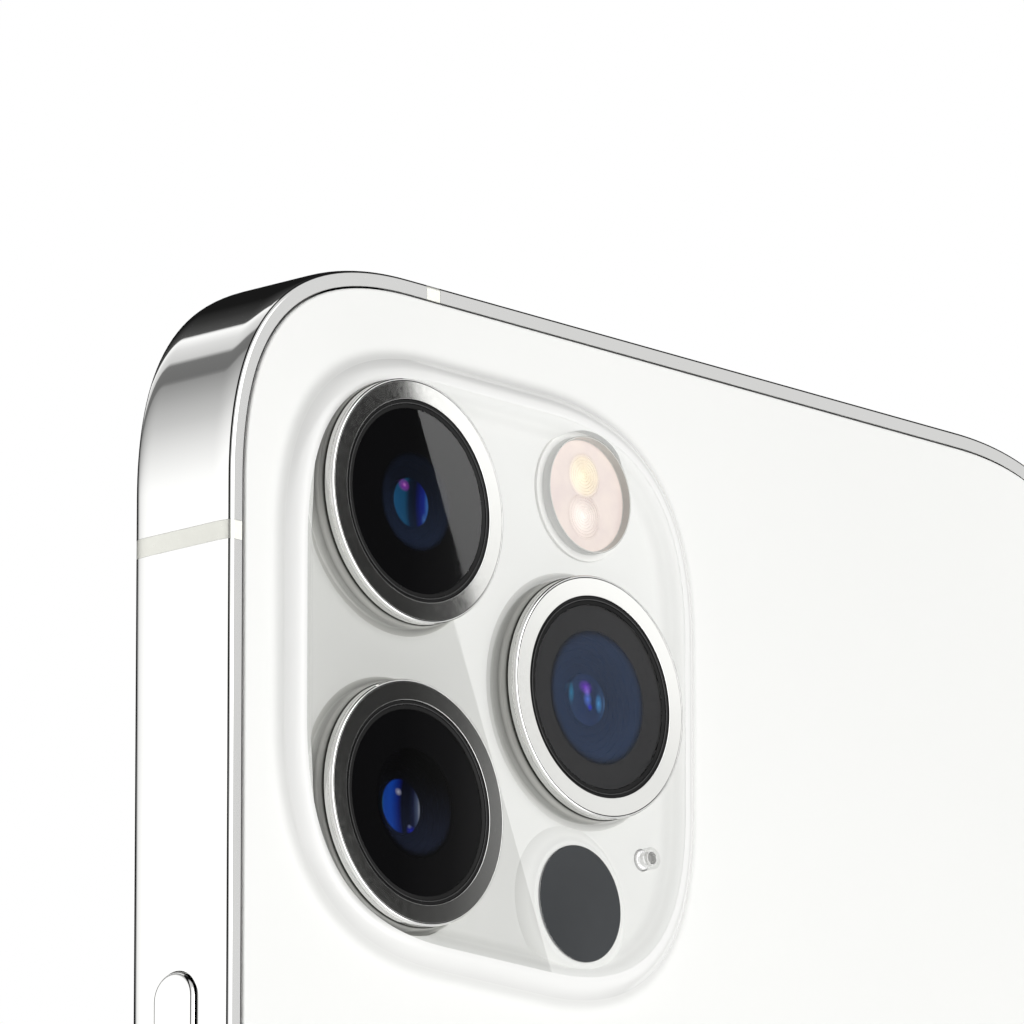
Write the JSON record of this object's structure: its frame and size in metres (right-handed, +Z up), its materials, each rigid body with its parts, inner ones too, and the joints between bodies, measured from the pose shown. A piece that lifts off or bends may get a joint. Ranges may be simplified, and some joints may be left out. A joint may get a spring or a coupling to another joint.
{
  "type": "smartphone",
  "caption": "Slim flat-sided smartphone with a polished metal band, frosted white glass back and a glossy raised camera plateau in one corner; keys and card tray move.",
  "frame": {"origin": "centre of the charging port's mouth in the middle of the bottom edge, halfway between the two glass faces at the edge", "axes": "+Z up along the length, +Y out of the camera side (the screen faces -Y), +X towards the side button; on the right when the screen is seen upright"},
  "size_m": [0.0724, 0.0093, 0.1467],
  "materials": {
    "polished_steel": "mirror-polished stainless steel",
    "split_plastic": "pale grey, satin",
    "frosted_glass": "white backed glass, fine matte etch, with a clear glossy camera plateau",
    "screen_glass": "clear over black, glossy",
    "white_film": "white print",
    "black_rubber": "soft black",
    "display_black": "switched-off display, glossy black",
    "plate_aluminium": "machined",
    "battery_foil": "black laminate foil pouch",
    "board_green": "dark solder mask",
    "can_steel": "drawn or punched steel",
    "tungsten_grey": "dense sintered metal",
    "copper": "enamelled copper",
    "magnet_grey": "nickel plated magnets",
    "black_plastic": "moulded black",
    "grey_membrane": "formed film",
    "clear_glass": "clear, glossy",
    "coated_glass": "dark glass with a blue coating",
    "dark_window": "dark glossy window",
    "sensor_dark": "dark silicon",
    "led_yellow": "phosphor",
    "card_white": "plain card"
  },
  "bodies": {
    "phone": {"antenna_splits": "split_plastic", "battery": "battery_foil", "board_shields": "can_steel", "bottom_left_corner": "polished_steel", "bottom_rail": "polished_steel", "bottom_screws": "polished_steel", "bracket_screws": "can_steel", "button_switches": "black_plastic", "camera_bracket": "can_steel", "camera_housings": "black_plastic", "charge_port_shell": "can_steel", "charge_port_tongue": "black_plastic", "charging_coil": "copper", "display_panel": "display_black", "earpiece_speaker": "black_plastic", "flash_leds": "led_yellow", "flash_lens": "clear_glass", "front_camera": "black_plastic", "front_gasket": "black_rubber", "front_glass": "screen_glass", "front_sensors": "black_plastic", "haptic_case": "can_steel", "haptic_coil": "copper", "image_sensors": "sensor_dark", "left_rail": "polished_steel", "lidar_module": "black_plastic", "lidar_window": "dark_window", "logic_board": "board_green", "loudspeaker_box": "black_plastic", "magnet_ring": "magnet_grey", "middle_plate": "plate_aluminium", "rear_film": "white_film", "rear_gasket": "black_rubber", "rear_glass": "frosted_glass", "rear_microphone": "black_plastic", "right_rail": "polished_steel", "sim_reader": "can_steel", "speaker_meshes": "can_steel", "tele_cover_lens": "clear_glass", "tele_trim_ring": "polished_steel", "top_rail": "polished_steel", "top_right_corner": "polished_steel", "ultra_wide_cover_lens": "clear_glass", "ultra_wide_front_element": "coated_glass", "ultra_wide_lens_barrel": "black_plastic", "ultra_wide_trim_ring": "polished_steel", "wide_cover_lens": "clear_glass", "wide_trim_ring": "polished_steel"},
    "side_button": {"side_button": "polished_steel"},
    "volume_up_button": {"volume_up_button": "polished_steel"},
    "volume_down_button": {"volume_down_button": "polished_steel"},
    "ring_switch": {"ring_switch": "polished_steel"},
    "sim_tray": {"sim_tray": "polished_steel", "sim_card": "card_white"},
    "haptic_mass": {"haptic_mass": "tungsten_grey"},
    "tele_lens": {"tele_lens_barrel": "black_plastic", "tele_front_element": "coated_glass"},
    "wide_lens": {"wide_lens_barrel": "black_plastic", "wide_front_element": "coated_glass"},
    "loudspeaker_diaphragm": {"loudspeaker_diaphragm": "grey_membrane"}
  },
  "joints": [
    {"name": "side_button_press", "type": "slide", "parent": "phone", "child": "side_button", "axis": [-1, 0, 0], "range_m": [0, 0.00025], "stiffness_N_per_m": 3000},
    {"name": "volume_up_press", "type": "slide", "parent": "phone", "child": "volume_up_button", "axis": [1, 0, 0], "range_m": [0, 0.00025], "stiffness_N_per_m": 3000},
    {"name": "volume_down_press", "type": "slide", "parent": "phone", "child": "volume_down_button", "axis": [1, 0, 0], "range_m": [0, 0.00025], "stiffness_N_per_m": 3000},
    {"name": "ring_switch_slide", "type": "slide", "parent": "phone", "child": "ring_switch", "axis": [0, 1, 0], "range_m": [0, 0.0012]},
    {"name": "sim_tray_slide", "type": "slide", "parent": "phone", "child": "sim_tray", "axis": [-1, 0, 0], "range_m": [0, 0.02]},
    {"name": "haptic_mass_slide", "type": "slide", "parent": "phone", "child": "haptic_mass", "axis": [1, 0, 0], "range_m": [-0.0005, 0.0005], "stiffness_N_per_m": 2000},
    {"name": "tele_focus", "type": "slide", "parent": "phone", "child": "tele_lens", "axis": [0, 1, 0], "range_m": [-0.0003, 0], "stiffness_N_per_m": 500},
    {"name": "wide_focus", "type": "slide", "parent": "phone", "child": "wide_lens", "axis": [0, 1, 0], "range_m": [0, 0.0003], "stiffness_N_per_m": 500},
    {"name": "diaphragm_stroke", "type": "slide", "parent": "phone", "child": "loudspeaker_diaphragm", "axis": [0, 1, 0], "range_m": [-0.0003, 0.0003], "stiffness_N_per_m": 1000}
  ]
}
